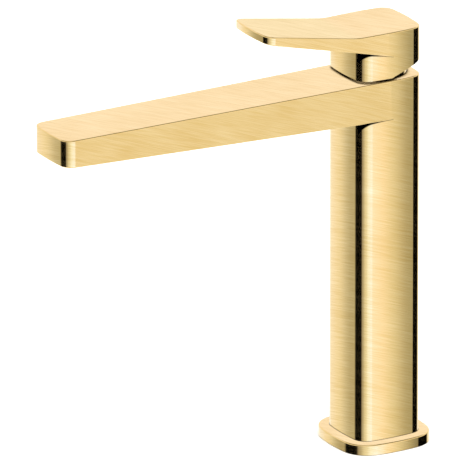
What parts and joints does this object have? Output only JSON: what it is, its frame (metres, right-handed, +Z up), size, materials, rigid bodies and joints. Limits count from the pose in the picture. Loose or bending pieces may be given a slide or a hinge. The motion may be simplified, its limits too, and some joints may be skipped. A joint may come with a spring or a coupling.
{
  "type": "bathroom basin mixer faucet",
  "caption": "Tall single-lever basin mixer with a bowed square column, a long flat bar spout and a flat rising lever over a ceramic disc cartridge.",
  "frame": {"origin": "middle of the column on the deck face, which is the flange's underside", "axes": "+Z up along the column, -Y along the spout and lever towards the user's hands, +X across the column"},
  "size_m": [0.0608, 0.261, 0.3546],
  "materials": {
    "brushed_gold": "brass with a fine brushed gold coating",
    "raw_brass": "machined",
    "zinc_steel": "zinc plated",
    "black_rubber": "moulded, matt",
    "cartridge_plastic": "moulded, off-white",
    "aerator_plastic": "moulded, grey",
    "red_plastic": "moulded, red",
    "ceramic": "lapped alumina ceramic"
  },
  "bodies": {
    "fixed_body": {"base_flange": "brushed_gold", "base_seal": "black_rubber", "column_tube": "brushed_gold", "column_foot": "raw_brass", "mounting_studs": "zinc_steel", "clamp_gasket": "black_rubber", "clamp_plate": "zinc_steel", "clamp_nuts": "raw_brass", "spout_head": "brushed_gold", "cartridge_seat": "raw_brass", "aerator_shell": "aerator_plastic", "aerator_seal": "black_rubber", "aerator_grid": "aerator_plastic", "aerator_jet_plate": "aerator_plastic", "inlet_seals": "black_rubber", "cartridge_base": "cartridge_plastic", "fixed_disc": "ceramic", "cartridge_housing": "cartridge_plastic", "housing_o_ring": "black_rubber", "cartridge_nut": "raw_brass", "limit_ring": "red_plastic", "trim_ring": "brushed_gold"},
    "turning_guide": {"rotor": "cartridge_plastic", "rotor_o_ring": "black_rubber", "pivot_pin": "zinc_steel"},
    "sliding_disc": {"moving_disc": "ceramic", "disc_carrier": "cartridge_plastic"},
    "lever": {"lever_stem": "raw_brass", "lever_handle": "brushed_gold", "handle_screw": "zinc_steel", "screw_plug": "brushed_gold"}
  },
  "joints": [
    {"name": "temperature_turn", "type": "hinge", "parent": "fixed_body", "child": "turning_guide", "pos_m": [0, 0, 0.2415], "axis": [0, 0, 1], "range_deg": [-50, 50]},
    {"name": "lever_tilt", "type": "hinge", "parent": "turning_guide", "child": "lever", "pos_m": [0, 0, 0.2415], "axis": [-1, 0, 0], "range_deg": [0, 20]},
    {"name": "disc_slide", "type": "slide", "parent": "turning_guide", "child": "sliding_disc", "axis": [0, -1, 0], "range_m": [0, 0.0053]}
  ],
  "couplings": [
    {"joint": "disc_slide", "follows": "lever_tilt", "m_per_rad": 0.01492}
  ]
}
